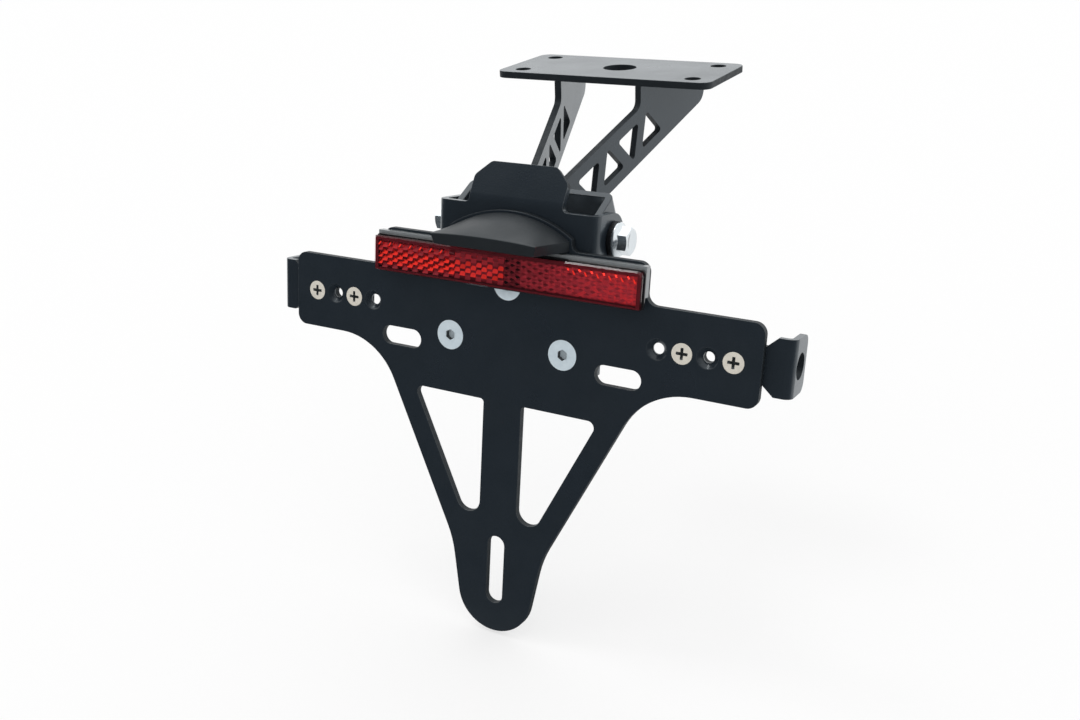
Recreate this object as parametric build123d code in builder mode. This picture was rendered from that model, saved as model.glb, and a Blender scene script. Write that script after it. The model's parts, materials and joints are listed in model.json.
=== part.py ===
from build123d import *
import os
from math import acos, atan, atan2, cos, radians, sin, tan

# Tail tidy: a number-plate holder that bolts under the tail of a motorbike.
# Millimetres. +Z is up, +Y points to the front of the bike, +X is its right-hand side.
# The origin is the middle of the upper face of the top plate.

# Top plate, with four holes for the tail and one for the cables
plate_hole_diameter = 7.0
plate_hole_spacing_x = 82.0
plate_hole_spacing_y = 32.0
plate_margin_x = 10.0
plate_margin_y = 8.0
plate_thickness = 3.0
plate_corner_radius = 5.0
plate_cable_diameter = 15.0

# Pivot of the tilting half, measured from the origin
pivot_back = 87.0
pivot_drop = 50.0

# Fork, a U bent from sheet that opens backwards and down
fork_width = 65.8
fork_height = 22.0
fork_thickness = 3.0
fork_bend_radius = 3.6
fork_slope = 22.5
fork_reach = 14.5

# Arms, two trusses cut from sheet that run from the top plate to the fork
arm_thickness = 3.0
arm_spacing_plate = 38.6
arm_spacing_fork = 15.5
arm_front_margin = 0.5
arm_back_radius = 4.5
arm_front_radius = 6.5
truss_count = 4
truss_start = 10.6
truss_rim = 4.9
truss_tip_overrun = 1.7
truss_long_lean = 33.0
truss_long_strut = 4.8
truss_short_lean = 25.5
truss_short_strut = 5.5
truss_corner_radius = 1.2

# Number-plate panel. Its own sizes count from the middle of the two lower M6 screws:
# across is +X, height is up along the sheet, and depth is square to the front face
panel_tilt = 10.5
panel_thickness = 3.0
panel_pivot_height = 45.0
panel_pivot_depth = 16.0
bar_width = 212.0
bar_height = 32.4
bar_middle = 9.0
bar_corner_radius = 4.5
shelf_width = 119.2
shelf_height = 16.1
shelf_corner_radius = 4.0
shelf_foot_radius = 4.5
tab_width = 54.8
tab_side_height = 4.7
tab_arch = 8.2
tab_foot_radius = 3.0
side_start = 124.4
side_radius = 30.0
lobe_drop = 103.1
lobe_radius = 17.7
lobe_lean = 10.0
lobe_neck = 23.5
lobe_foot_radius = 45.0
window_drop = 17.4
window_rib_width = 17.7
window_strut = 9.3
window_tip_radius = 5.8
window_outer_radius = 2.8
window_inner_radius = 1.6
slot_width = 8.0
slot_length = 19.6
slot_side_distance = 12.0
slot_rise = 2.4
lobe_slot_length = 31.0
lobe_slot_rise = 10.8

# Indicator bracket holes along the bar
row_pitch = 10.0
row_count = 4
row_end_margin = 10.7
row_screw_steps = (0, 2)

# Hinge bracket, a U bent from sheet on the back of the panel, with a tongue on top
bracket_thickness = 3.0
bracket_bend_radius = 4.5
bracket_bottom = -9.5
bracket_flange_depth = 12.0
bracket_ear_radius = 10.3
bracket_ear_foot = 20.0
tongue_width = 42.0
tongue_root = 0.2
tongue_bend = 25.0
tongue_bend_radius = 6.0
tongue_length = 13.8
tongue_chamfer = 6.4
tongue_corner_radius = 3.0
tongue_foot_radius = 2.0
cable_hole_diameter = 4.6

# M6 screws that hold the panel to the bracket
m6_diameter = 6.0
m6_hole = 6.6
m6_head_diameter = 12.6
m6_socket_flats = 4.0
m6_socket_depth = 2.4
m6_flange_distance = 7.1
m6_upper_height = 24.5
m6_nut_flats = 10.0
m6_nut_height = 5.0
m6_collar_height = 1.6
m6_collar_diameter = 8.6
m6_thread_past_nut = 1.2

# Pivot bolts with flanged heads, and a washer on each side of the hinge
pivot_flange_diameter = 14.2
pivot_flange_height = 1.1
pivot_flange_cone = 1.3
pivot_head_flats = 10.0
pivot_head_height = 6.2
pivot_head_turn = 30.0
pivot_washer_diameter = 12.0
pivot_outer_washer_diameter = 14.6
pivot_washer_thickness = 1.6

# M4 screws of the indicator brackets, with a cross recess
m4_diameter = 4.0
m4_hole = 4.4
m4_head_diameter = 8.4
m4_recess_length = 4.4
m4_recess_width = 0.9
m4_recess_depth = 1.6
m4_nut_flats = 7.0
m4_nut_height = 3.4
m4_collar_height = 1.3
m4_collar_diameter = 6.0
m4_thread_past_nut = 0.8

# Indicator brackets, an L bent from sheet at each end of the bar
indicator_thickness = 2.5
indicator_overhang = 10.9
indicator_leg_height = 14.8
indicator_leg_margin = 6.8
indicator_height = 22.3
indicator_shoulder = 4.2
indicator_flange = 16.0
indicator_bend_radius = 3.6
indicator_corner_radius = 4.0
indicator_hole_diameter = 10.2
indicator_hole_depth = 8.4

# Number-plate light on the narrow tab
light_inset = 1.0
light_below_shelf = 0.2
light_cable_rise = 3.5
light_bulge = 1.1
light_reach = 20.8
light_front_width = 46.0
light_front_base_width = 43.4
light_front_height = 4.3
light_front_crown = 0.7
light_front_rake = 12.0
light_edge_radius = 0.6
light_wall = 2.0
light_cavity_width = 30.0
light_cavity_height = 2.4
light_lens_thickness = 1.2
light_lens_lip = 1.0
light_board_thickness = 0.8
light_board_width = 27.0
light_board_depth = 10.0
led_count = 3
led_pitch = 8.0
led_size = 3.0
led_height = 0.7
m3_diameter = 3.0
m3_hole = 3.3
m3_head_diameter = 5.8
m3_length = 9.0
m3_cavity_distance = 5.0
m3_rise = 3.3

# Reflector on the shelf, below the light
reflector_width = 121.0
reflector_height = 15.8
reflector_top_margin = 2.1
reflector_base_depth = 1.4
reflector_corner_radius = 2.0
reflector_lens_depth = 2.6
reflector_lens_inset = 0.5
reflector_front_radius = 0.7
reflector_pad_depth = 3.2
reflector_pad_height = 12.0
reflector_pad_top_margin = 1.0
reflector_pad_inset = 0.2

# Clearances
seat_gap = 0.05
thread_gap = 0.08
pivot_bore_gap = 0.08
pivot_side_gap = 0.2
lens_gap = 0.08

# Directions and planes that follow from the sizes above
slope = radians(fork_slope)
tilt = radians(panel_tilt)
pivot = Vector(0, -pivot_back, -pivot_drop)
fork_forward = Vector(0, cos(slope), sin(slope))
fork_up = Vector(0, -sin(slope), cos(slope))
panel_up = Vector(0, sin(tilt), cos(tilt))
panel_out = Vector(0, -cos(tilt), sin(tilt))
panel_back_at_pivot = pivot + panel_out * panel_pivot_depth
panel_origin = panel_back_at_pivot + panel_out * panel_thickness - panel_up * panel_pivot_height
front_plane = Plane(panel_origin, x_dir=(1, 0, 0), z_dir=panel_out)
back_plane = front_plane.offset(-panel_thickness)
behind_plane = Plane(back_plane.origin, x_dir=(-1, 0, 0), z_dir=-panel_out)
fork_side = Plane(pivot, x_dir=fork_forward, z_dir=(1, 0, 0))
bracket_side = Plane(pivot, x_dir=-panel_out, z_dir=(1, 0, 0))

# Sizes that follow from others
plate_width = plate_hole_spacing_x + 2 * plate_margin_x
plate_depth = plate_hole_spacing_y + 2 * plate_margin_y
fork_middle = pivot + fork_forward * fork_reach
arm_back = -plate_depth / 2
arm_front = plate_depth / 2 - arm_front_margin
arm_spread = atan((arm_spacing_plate - arm_spacing_fork) / 2 / (arm_back - fork_middle.Y))
beam_slope = atan(tan(slope) * cos(arm_spread))
beam_width = fork_height / cos(slope) * cos(beam_slope)
bracket_inner_width = fork_width + 2 * pivot_side_gap
bracket_width = bracket_inner_width + 2 * bracket_thickness
bracket_top = panel_pivot_height + bracket_ear_radius
bar_top = bar_middle + bar_height / 2
bar_bottom = bar_middle - bar_height / 2
shelf_top = bar_top + shelf_height
tab_side_top = shelf_top + tab_side_height
tab_top = tab_side_top + tab_arch
lobe_middle = bar_bottom - lobe_drop
window_top = bar_bottom - window_drop
slot_across = side_start / 2 - slot_side_distance
slot_height = bar_bottom + slot_rise
lobe_slot_middle = lobe_middle + lobe_slot_rise
reflector_middle = shelf_top - reflector_top_margin - reflector_height / 2
pad_middle = shelf_top - reflector_pad_top_margin - reflector_pad_height / 2
light_bottom = shelf_top - light_below_shelf
cable_hole_height = light_bottom + light_cable_rise
row_end = bar_width / 2 - row_end_margin
row_points = [(row_end - k * row_pitch, bar_middle) for k in range(row_count)]
screw_points = [row_points[k] for k in row_screw_steps]
m6_across = bracket_inner_width / 2 - m6_flange_distance
m6_points = [(-m6_across, 0), (m6_across, 0), (0, m6_upper_height)]
m3_across = light_cavity_width / 2 + m3_cavity_distance
m3_height = light_bottom + m3_rise
m3_points = [(-m3_across, m3_height), (m3_across, m3_height)]


def spots(plane, points):
    """Planes like the given one, moved to each point on it."""
    return [Plane(plane.from_local_coords((x, y, 0)), plane.x_dir, plane.z_dir) for x, y in points]


def plan_plane(height):
    """Plane across the panel at a height on it: x runs across, y forwards from its back face."""
    return Plane(back_plane.from_local_coords((0, height, 0)), (1, 0, 0), panel_up)


# Top plate
with BuildPart() as top_plate:
    with BuildSketch() as sketch:
        Rectangle(plate_width, plate_depth)
        fillet(sketch.vertices(), plate_corner_radius)
        Circle(plate_cable_diameter / 2, mode=Mode.SUBTRACT)
        with GridLocations(plate_hole_spacing_x, plate_hole_spacing_y, 2, 2):
            Circle(plate_hole_diameter / 2, mode=Mode.SUBTRACT)
    extrude(amount=-plate_thickness)

# Fork: the U is drawn looking along its bends, then its flanges are cut to round eyes
with BuildPart() as hinge_fork:
    fork_plan = Plane(pivot - fork_up * fork_height / 2, (1, 0, 0), fork_up)
    fork_depth = fork_reach + fork_height / 2
    with BuildSketch(fork_plan) as sketch:
        with Locations((0, fork_reach)):
            Rectangle(fork_width, fork_depth, align=(Align.CENTER, Align.MAX))
        fillet(sketch.vertices().group_by(Axis.Y)[-1], fork_bend_radius)
        with BuildSketch(mode=Mode.SUBTRACT) as hollow:
            with Locations((0, fork_reach - fork_thickness)):
                Rectangle(fork_width - 2 * fork_thickness, fork_depth, align=(Align.CENTER, Align.MAX))
            fillet(hollow.vertices().group_by(Axis.Y)[-1], fork_bend_radius - fork_thickness)
    extrude(amount=fork_height)
    with BuildSketch(fork_side):
        Circle(fork_height / 2)
        Rectangle(fork_reach, fork_height, align=(Align.MIN, Align.CENTER))
    extrude(amount=fork_width, both=True, mode=Mode.INTERSECT)
    with BuildSketch(fork_side):
        Circle(m6_diameter / 2 + pivot_bore_gap)
    extrude(amount=fork_width, both=True, mode=Mode.SUBTRACT)

# Arms: each is a foot under the top plate and a sloping beam with windows that leave a truss
arm_plane = Plane((arm_spacing_plate / 2, arm_back, 0), (sin(arm_spread), cos(arm_spread), 0),
                  (cos(arm_spread), -sin(arm_spread), 0))
beam_forward = Vector(sin(arm_spread) * cos(beam_slope), cos(arm_spread) * cos(beam_slope), sin(beam_slope))
beam_plane = Plane((arm_spacing_fork / 2, fork_middle.Y, fork_middle.Z), beam_forward, arm_plane.z_dir)


def beam_edge(along, side):
    """Height of the beam's upper (side 1) or lower (side -1) edge, at a length along the arm's plane."""
    ahead_of_pivot = arm_back + along * cos(arm_spread) + pivot_back
    return ahead_of_pivot * tan(slope) - pivot_drop + side * fork_height / 2 / cos(slope)


with BuildPart() as arm_right:
    foot_front = (arm_front - arm_back) / cos(arm_spread)
    beam_end = (fork_middle.Y - arm_back) / cos(arm_spread) - fork_height
    back_corner = (0, beam_edge(0, 1))
    front_corner = (foot_front, beam_edge(foot_front, -1))
    with BuildSketch(arm_plane) as sketch:
        with BuildLine():
            Polyline((0, -plate_thickness), back_corner, (beam_end, beam_edge(beam_end, 1)),
                     (beam_end, beam_edge(beam_end, -1)), front_corner, (foot_front, -plate_thickness),
                     close=True)
        make_face()
        fillet(sketch.vertices().sort_by_distance(back_corner)[0], arm_back_radius)
        fillet(sketch.vertices().sort_by_distance(front_corner)[0], arm_front_radius)
    extrude(amount=arm_thickness / 2, both=True)
    # Windows stand on the upper and the lower rim in turn, with a strut between neighbours
    base = beam_width / 2 - truss_rim
    window_height = 2 * base + truss_tip_overrun
    long_lean = radians(truss_long_lean)
    short_lean = radians(truss_short_lean)
    long_run = window_height * tan(long_lean)
    short_run = window_height * tan(short_lean)
    long_step = short_run + truss_tip_overrun * tan(long_lean) + truss_long_strut / cos(long_lean)
    short_step = long_run + truss_tip_overrun * tan(short_lean) + truss_short_strut / cos(short_lean)
    along = truss_start
    with BuildSketch(beam_plane) as sketch:
        for k in range(truss_count):
            side, run, step = (1, short_run, long_step) if k % 2 == 0 else (-1, long_run, short_step)
            with BuildLine():
                Polyline((along, side * base), (along + long_run + short_run, side * base),
                         (along + run, side * (base - window_height)), close=True)
            make_face()
            along += step
        fillet(sketch.vertices(), truss_corner_radius)
    extrude(amount=arm_thickness, both=True, mode=Mode.SUBTRACT)
    split(bisect_by=Plane(fork_middle, (1, 0, 0), fork_forward), keep=Keep.TOP)

with BuildPart() as arm_left:
    mirror(arm_right.part, about=Plane.YZ)

# Number-plate panel: half the outline is drawn and mirrored
with BuildPart() as plate_panel:
    tab_half = tab_width / 2
    shelf_half = shelf_width / 2
    bar_half = bar_width / 2
    side_corner = (side_start / 2, bar_bottom)
    lobe_cos, lobe_sin = cos(radians(lobe_lean)), sin(radians(lobe_lean))
    lobe_side = (lobe_radius * lobe_cos, lobe_middle - lobe_radius * lobe_sin)
    lobe_joint = (lobe_side[0] + lobe_neck * lobe_sin, lobe_side[1] + lobe_neck * lobe_cos)
    side_run = (side_corner[0] - lobe_joint[0]) / (bar_bottom - lobe_joint[1])
    tab_radius = (tab_half ** 2 + tab_arch ** 2) / (2 * tab_arch)
    with BuildSketch(front_plane) as sketch:
        with BuildLine():
            RadiusArc((0, tab_top), (tab_half, tab_side_top), tab_radius)
            Polyline((tab_half, tab_side_top), (tab_half, shelf_top), (shelf_half, shelf_top),
                     (shelf_half, bar_top), (bar_half, bar_top), (bar_half, bar_bottom),
                     side_corner, lobe_joint, lobe_side)
            CenterArc((0, lobe_middle), lobe_radius, -lobe_lean, lobe_lean - 90)
            mirror(about=Plane.YZ)
        make_face()
        for corner, radius in (((tab_half, shelf_top), tab_foot_radius),
                               ((shelf_half, shelf_top), shelf_corner_radius),
                               ((shelf_half, bar_top), shelf_foot_radius),
                               ((bar_half, bar_top), bar_corner_radius),
                               ((bar_half, bar_bottom), bar_corner_radius),
                               (side_corner, side_radius), (lobe_joint, lobe_foot_radius)):
            for side in (-1, 1):
                fillet(sketch.vertices().sort_by_distance((side * corner[0], corner[1]))[0], radius)
    extrude(amount=-panel_thickness)
    # The two windows leave a middle rib and a strut along each side
    rib_half = window_rib_width / 2
    side_inset = window_strut / cos(atan(side_run))
    window_outer = side_corner[0] - window_drop * side_run - side_inset
    window_tip = window_top - (window_outer - rib_half) / side_run
    with BuildSketch(front_plane) as sketch:
        with BuildLine():
            Polyline((rib_half, window_top), (window_outer, window_top), (rib_half, window_tip), close=True)
        make_face()
        fillet(sketch.vertices().sort_by(Axis.Y)[0], window_tip_radius)
        fillet(sketch.vertices().sort_by_distance((window_outer, window_top))[0], window_outer_radius)
        fillet(sketch.vertices().sort_by_distance((rib_half, window_top))[0], window_inner_radius)
        mirror(about=Plane.YZ)
    extrude(amount=-panel_thickness, mode=Mode.SUBTRACT)
    # Slots for the number plate, and the hole for the cable of the light
    with BuildSketch(front_plane):
        with Locations((-slot_across, slot_height), (slot_across, slot_height)):
            SlotOverall(slot_length, slot_width)
        with Locations((0, lobe_slot_middle)):
            SlotOverall(lobe_slot_length, slot_width, rotation=90)
        with Locations((0, cable_hole_height)):
            Circle(cable_hole_diameter / 2)
    extrude(amount=-panel_thickness, mode=Mode.SUBTRACT)
    with Locations(*spots(front_plane, m6_points)):
        CounterSinkHole(m6_hole / 2, m6_head_diameter / 2, counter_sink_angle=90)
    with Locations(*spots(front_plane, row_points + [(-u, v) for u, v in row_points])):
        CounterSinkHole(m4_hole / 2, m4_head_diameter / 2, counter_sink_angle=90)
    with Locations(*spots(behind_plane, m3_points)):
        CounterSinkHole(m3_hole / 2, m3_head_diameter / 2, counter_sink_angle=90)

# Hinge bracket: the tongue first, as a bent strip, then the U with its ears
with BuildPart() as hinge_bracket:
    strip_middle = bracket_thickness / 2 - panel_pivot_depth
    with BuildSketch(bracket_side):
        with BuildLine():
            root = Line((strip_middle, 0), (strip_middle, bracket_ear_radius + tongue_root))
            bend = JernArc(root @ 1, root % 1, tongue_bend_radius + bracket_thickness / 2, -tongue_bend)
            PolarLine(bend @ 1, tongue_length, direction=bend % 1)
        trace(line_width=bracket_thickness)
    extrude(amount=tongue_width / 2, both=True)
    tongue_end = hinge_bracket.faces().sort_by(Axis.Z)[-1]
    chamfer(tongue_end.edges().filter_by(Axis.X, reverse=True), tongue_chamfer)
    chamfer_faces = hinge_bracket.faces().sort_by(Axis.Z)[-3:-1]
    fillet(chamfer_faces.edges().group_by(SortBy.LENGTH)[0], tongue_corner_radius)
    bracket_length = bracket_top - bracket_bottom
    bracket_depth = panel_pivot_depth + bracket_ear_radius
    with BuildSketch(plan_plane(bracket_bottom)) as sketch:
        Rectangle(bracket_width, bracket_depth, align=(Align.CENTER, Align.MIN))
        fillet(sketch.vertices().group_by(Axis.Y)[0], bracket_bend_radius)
        with BuildSketch(mode=Mode.SUBTRACT) as hollow:
            with Locations((0, bracket_thickness)):
                Rectangle(bracket_inner_width, bracket_depth, align=(Align.CENTER, Align.MIN))
            fillet(hollow.vertices().group_by(Axis.Y)[0], bracket_bend_radius - bracket_thickness)
    with BuildPart(mode=Mode.PRIVATE) as channel:
        extrude(sketch.sketch, amount=bracket_length, dir=panel_up)
        flange_edge = bracket_flange_depth - panel_pivot_depth
        ear_foot = (flange_edge, bracket_ear_foot - panel_pivot_height)
        foot_length = Vector(*ear_foot).length
        touch = atan2(ear_foot[1], ear_foot[0]) + acos(bracket_ear_radius / foot_length)
        with BuildSketch(bracket_side):
            Circle(bracket_ear_radius)
            with BuildLine():
                Polyline((-panel_pivot_depth, bracket_ear_radius),
                         (-panel_pivot_depth, bracket_bottom - panel_pivot_height),
                         (flange_edge, bracket_bottom - panel_pivot_height), ear_foot,
                         (bracket_ear_radius * cos(touch), bracket_ear_radius * sin(touch)),
                         (0, 0), (0, bracket_ear_radius), close=True)
            make_face()
        extrude(amount=bracket_width, both=True, mode=Mode.INTERSECT)
    add(channel.part)
    for side in (-1, 1):
        foot = bracket_side.from_local_coords((strip_middle, bracket_ear_radius, side * tongue_width / 2))
        fillet(hinge_bracket.edges().sort_by_distance(foot)[0], tongue_foot_radius)
    with BuildSketch(*spots(back_plane, m6_points)):
        Circle(m6_hole / 2)
    extrude(amount=-bracket_thickness, mode=Mode.SUBTRACT)
    with BuildSketch(*spots(back_plane, [(0, cable_hole_height)])):
        Circle(cable_hole_diameter / 2)
    extrude(amount=-bracket_thickness, mode=Mode.SUBTRACT)
    with BuildSketch(bracket_side):
        Circle(m6_diameter / 2 + pivot_bore_gap)
    extrude(amount=bracket_width, both=True, mode=Mode.SUBTRACT)

# M6 screws and lock nuts between the panel and the hinge bracket
web_plane = back_plane.offset(-bracket_thickness)
m6_length = panel_thickness + bracket_thickness + m6_nut_height + m6_collar_height + m6_thread_past_nut
with BuildPart() as panel_screws:
    head_radius = m6_head_diameter / 2 - seat_gap
    with Locations(*spots(front_plane, m6_points)):
        Cone(m6_diameter / 2, head_radius, head_radius - m6_diameter / 2,
             align=(Align.CENTER, Align.CENTER, Align.MAX))
        Cylinder(m6_diameter / 2, m6_length, align=(Align.CENTER, Align.CENTER, Align.MAX))
    with BuildSketch(*spots(front_plane, m6_points)):
        RegularPolygon(m6_socket_flats / 2, 6, major_radius=False)
    extrude(amount=-m6_socket_depth, mode=Mode.SUBTRACT)

with BuildPart() as panel_nuts:
    with BuildSketch(*spots(web_plane, m6_points)):
        RegularPolygon(m6_nut_flats / 2, 6, major_radius=False)
    extrude(amount=-m6_nut_height)
    with BuildSketch(*spots(web_plane.offset(-m6_nut_height), m6_points)):
        Circle(m6_collar_diameter / 2)
    extrude(amount=-m6_collar_height)
    with BuildSketch(*spots(web_plane, m6_points)):
        Circle(m6_diameter / 2 + thread_gap)
    extrude(amount=-m6_nut_height - m6_collar_height, mode=Mode.SUBTRACT)

# Pivot bolts: the right-hand set is built from the outside inwards, and mirrored
ear_face = Plane(pivot + Vector(bracket_width / 2 + pivot_side_gap, 0, 0), fork_forward, (1, 0, 0))
fork_inner_face = Plane(pivot + Vector(fork_width / 2 - fork_thickness, 0, 0), fork_forward, (1, 0, 0))
nut_face = fork_inner_face.offset(-pivot_washer_thickness)
nut_end = fork_width / 2 - fork_thickness - pivot_washer_thickness - m6_nut_height - m6_collar_height
with BuildPart() as pivot_outer_washer_right:
    with BuildSketch(ear_face):
        Circle(pivot_outer_washer_diameter / 2)
        Circle(m6_diameter / 2 + pivot_bore_gap, mode=Mode.SUBTRACT)
    extrude(amount=pivot_washer_thickness)

with BuildPart() as pivot_bolt_right:
    head_face = ear_face.offset(pivot_washer_thickness)
    hex_radius = pivot_head_flats / 2 / cos(radians(30))
    with BuildSketch(head_face):
        RegularPolygon(hex_radius, 6, rotation=pivot_head_turn)
    extrude(amount=pivot_head_height)
    # The corners of the hexagon are turned off at its outer end
    with BuildPart(head_face, mode=Mode.INTERSECT):
        Cylinder(hex_radius, pivot_head_height, align=(Align.CENTER, Align.CENTER, Align.MIN))
        corner_width = hex_radius - pivot_head_flats / 2
        chamfer(faces().sort_by(Axis.X)[-1].edges(), corner_width / 2, corner_width)
    with Locations(head_face):
        Cylinder(pivot_flange_diameter / 2, pivot_flange_height,
                 align=(Align.CENTER, Align.CENTER, Align.MIN))
    with Locations(head_face.offset(pivot_flange_height)):
        Cone(pivot_flange_diameter / 2, pivot_head_flats / 2, pivot_flange_cone,
             align=(Align.CENTER, Align.CENTER, Align.MIN))
    with BuildSketch(head_face):
        Circle(m6_diameter / 2)
    extrude(amount=nut_end - m6_thread_past_nut - head_face.origin.X)

with BuildPart() as pivot_washer_right:
    with BuildSketch(fork_inner_face):
        Circle(pivot_washer_diameter / 2)
        Circle(m6_diameter / 2 + pivot_bore_gap, mode=Mode.SUBTRACT)
    extrude(amount=-pivot_washer_thickness)

with BuildPart() as pivot_nut_right:
    with BuildSketch(nut_face):
        RegularPolygon(m6_nut_flats / 2, 6, major_radius=False)
    extrude(amount=-m6_nut_height)
    with BuildSketch(nut_face.offset(-m6_nut_height)):
        Circle(m6_collar_diameter / 2)
    extrude(amount=-m6_collar_height)
    with BuildSketch(nut_face):
        Circle(m6_diameter / 2 + thread_gap)
    extrude(amount=-m6_nut_height - m6_collar_height, mode=Mode.SUBTRACT)

with BuildPart() as pivot_bolt_left:
    mirror(pivot_bolt_right.part, about=Plane.YZ)

with BuildPart() as pivot_outer_washer_left:
    mirror(pivot_outer_washer_right.part, about=Plane.YZ)

with BuildPart() as pivot_washer_left:
    mirror(pivot_washer_right.part, about=Plane.YZ)

with BuildPart() as pivot_nut_left:
    mirror(pivot_nut_right.part, about=Plane.YZ)

# Indicator bracket: an L in plan, cut to a narrow leg behind the bar and a wider flange
with BuildPart() as indicator_bracket_right:
    outer = bar_width / 2 + indicator_overhang
    leg_inner = screw_points[-1][0] - indicator_leg_margin
    wide_low = bar_middle - indicator_height / 2
    wide_high = bar_middle + indicator_height / 2
    leg_low = bar_middle - indicator_leg_height / 2
    leg_high = bar_middle + indicator_leg_height / 2
    shoulder = bar_width / 2 + indicator_shoulder
    with BuildSketch(plan_plane(wide_low)) as sketch:
        with Locations((outer, 0)):
            Rectangle(outer - leg_inner, indicator_thickness, align=(Align.MAX, Align.MIN))
            Rectangle(indicator_thickness, indicator_flange, align=(Align.MAX, Align.MIN))
        bend_inside = (outer - indicator_thickness, indicator_thickness)
        inside_radius = indicator_bend_radius - indicator_thickness
        fillet(sketch.vertices().sort_by_distance((outer, 0))[0], indicator_bend_radius)
        fillet(sketch.vertices().sort_by_distance(bend_inside)[0], inside_radius)
    extrude(amount=indicator_height)
    with BuildSketch(back_plane) as sketch:
        with BuildLine():
            Polyline((leg_inner, leg_low), (bar_width / 2, leg_low), (shoulder, wide_low), (outer, wide_low),
                     (outer, wide_high), (shoulder, wide_high), (bar_width / 2, leg_high),
                     (leg_inner, leg_high), close=True)
        make_face()
        fillet(sketch.vertices().group_by(Axis.X)[0], indicator_corner_radius)
    extrude(amount=-indicator_flange, mode=Mode.INTERSECT)
    fillet(edges().filter_by(Axis.X).sort_by(Axis.Y)[-2:], indicator_corner_radius)
    with BuildSketch(*spots(back_plane, row_points[:-1])):
        Circle(m4_hole / 2)
    extrude(amount=-indicator_thickness, mode=Mode.SUBTRACT)
    with BuildSketch(Plane(plan_plane(bar_middle).origin, -panel_out, (1, 0, 0))):
        with Locations((indicator_hole_depth, 0)):
            Circle(indicator_hole_diameter / 2)
    extrude(amount=outer, mode=Mode.SUBTRACT)

# M4 screws and lock nuts of the right-hand indicator bracket
leg_plane = back_plane.offset(-indicator_thickness)
m4_length = panel_thickness + indicator_thickness + m4_nut_height + m4_collar_height + m4_thread_past_nut
with BuildPart() as indicator_screws_right:
    head_radius = m4_head_diameter / 2 - seat_gap
    with Locations(*spots(front_plane, screw_points)):
        Cone(m4_diameter / 2, head_radius, head_radius - m4_diameter / 2,
             align=(Align.CENTER, Align.CENTER, Align.MAX))
        Cylinder(m4_diameter / 2, m4_length, align=(Align.CENTER, Align.CENTER, Align.MAX))
    with BuildSketch(*spots(front_plane, screw_points)):
        Rectangle(m4_recess_length, m4_recess_width)
        Rectangle(m4_recess_width, m4_recess_length)
    extrude(amount=-m4_recess_depth, taper=15, mode=Mode.SUBTRACT)

with BuildPart() as indicator_nuts_right:
    with BuildSketch(*spots(leg_plane, screw_points)):
        RegularPolygon(m4_nut_flats / 2, 6, major_radius=False)
    extrude(amount=-m4_nut_height)
    with BuildSketch(*spots(leg_plane.offset(-m4_nut_height), screw_points)):
        Circle(m4_collar_diameter / 2)
    extrude(amount=-m4_collar_height)
    with BuildSketch(*spots(leg_plane, screw_points)):
        Circle(m4_diameter / 2 + thread_gap)
    extrude(amount=-m4_nut_height - m4_collar_height, mode=Mode.SUBTRACT)

with BuildPart() as indicator_bracket_left:
    mirror(indicator_bracket_right.part, about=Plane.YZ)

with BuildPart() as indicator_screws_left:
    mirror(indicator_screws_right.part, about=Plane.YZ)

with BuildPart() as indicator_nuts_left:
    mirror(indicator_nuts_right.part, about=Plane.YZ)

# Light housing: lofted from an arch on the tab to a low front face, and hollow from below
light_plane = Plane(front_plane.from_local_coords((0, light_bottom, 0)), (1, 0, 0), panel_up)
with BuildPart() as light_housing:
    # Each section: its share of the reach, top and base half-widths, side height and arch above the sides
    back_half = tab_width / 2 - light_inset
    front_half = light_front_width / 2
    front_base = light_front_base_width / 2
    back_side = tab_side_top - light_inset - light_bottom
    middle_side = (back_side + light_front_height) / 2
    middle_arch = (tab_arch + light_front_crown) / 2 + light_bulge
    sections = [(0, back_half, back_half, back_side, tab_arch),
                (0.5, (back_half + front_half) / 2, (back_half + front_base) / 2, middle_side, middle_arch),
                (1, front_half, front_base, light_front_height, light_front_crown)]
    for share, top_half, base_half, side, arch in sections:
        section_plane = Plane(light_plane.origin + panel_out * light_reach * share, (1, 0, 0), panel_out)
        with BuildSketch(section_plane.rotated((light_front_rake * share, 0, 0))):
            with BuildLine():
                Polyline((-top_half, side), (-base_half, 0), (base_half, 0), (top_half, side))
                ThreePointArc((top_half, side), (0, side + arch), (-top_half, side))
            make_face()
    loft()
    fillet(faces().sort_by(Axis.Y)[0].edges(), light_edge_radius)
    # The pocket for the lens, the space for the board above it, and the way in for the cable
    cavity_depth = light_reach - 2 * light_wall
    lens_width = light_cavity_width + 2 * light_lens_lip
    lens_depth = cavity_depth + 2 * light_lens_lip
    with BuildSketch(light_plane):
        with Locations((0, -light_reach / 2)):
            Rectangle(lens_width, lens_depth)
    extrude(amount=light_lens_thickness, mode=Mode.SUBTRACT)
    with BuildSketch(light_plane):
        with Locations((0, -light_reach / 2)):
            Rectangle(light_cavity_width, cavity_depth)
    extrude(amount=light_lens_thickness + light_cavity_height, mode=Mode.SUBTRACT)
    with BuildSketch(*spots(front_plane, [(0, cable_hole_height)])):
        Circle(cable_hole_diameter / 2)
    extrude(amount=light_reach / 2, mode=Mode.SUBTRACT)
    with BuildSketch(*spots(front_plane, m3_points)):
        Circle(m3_diameter / 2 + thread_gap)
    extrude(amount=m3_length - panel_thickness + thread_gap, mode=Mode.SUBTRACT)

with BuildPart() as light_lens:
    with BuildSketch(light_plane):
        with Locations((0, -light_reach / 2)):
            Rectangle(lens_width - 2 * lens_gap, lens_depth - 2 * lens_gap)
    extrude(amount=light_lens_thickness)

# Board on the roof of the light's cavity, with its lamps facing down
board_plane = light_plane.offset(light_lens_thickness + light_cavity_height)
with BuildPart() as light_board:
    with BuildSketch(board_plane):
        with Locations((0, -light_reach / 2)):
            Rectangle(light_board_width, light_board_depth)
    extrude(amount=-light_board_thickness)

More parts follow.
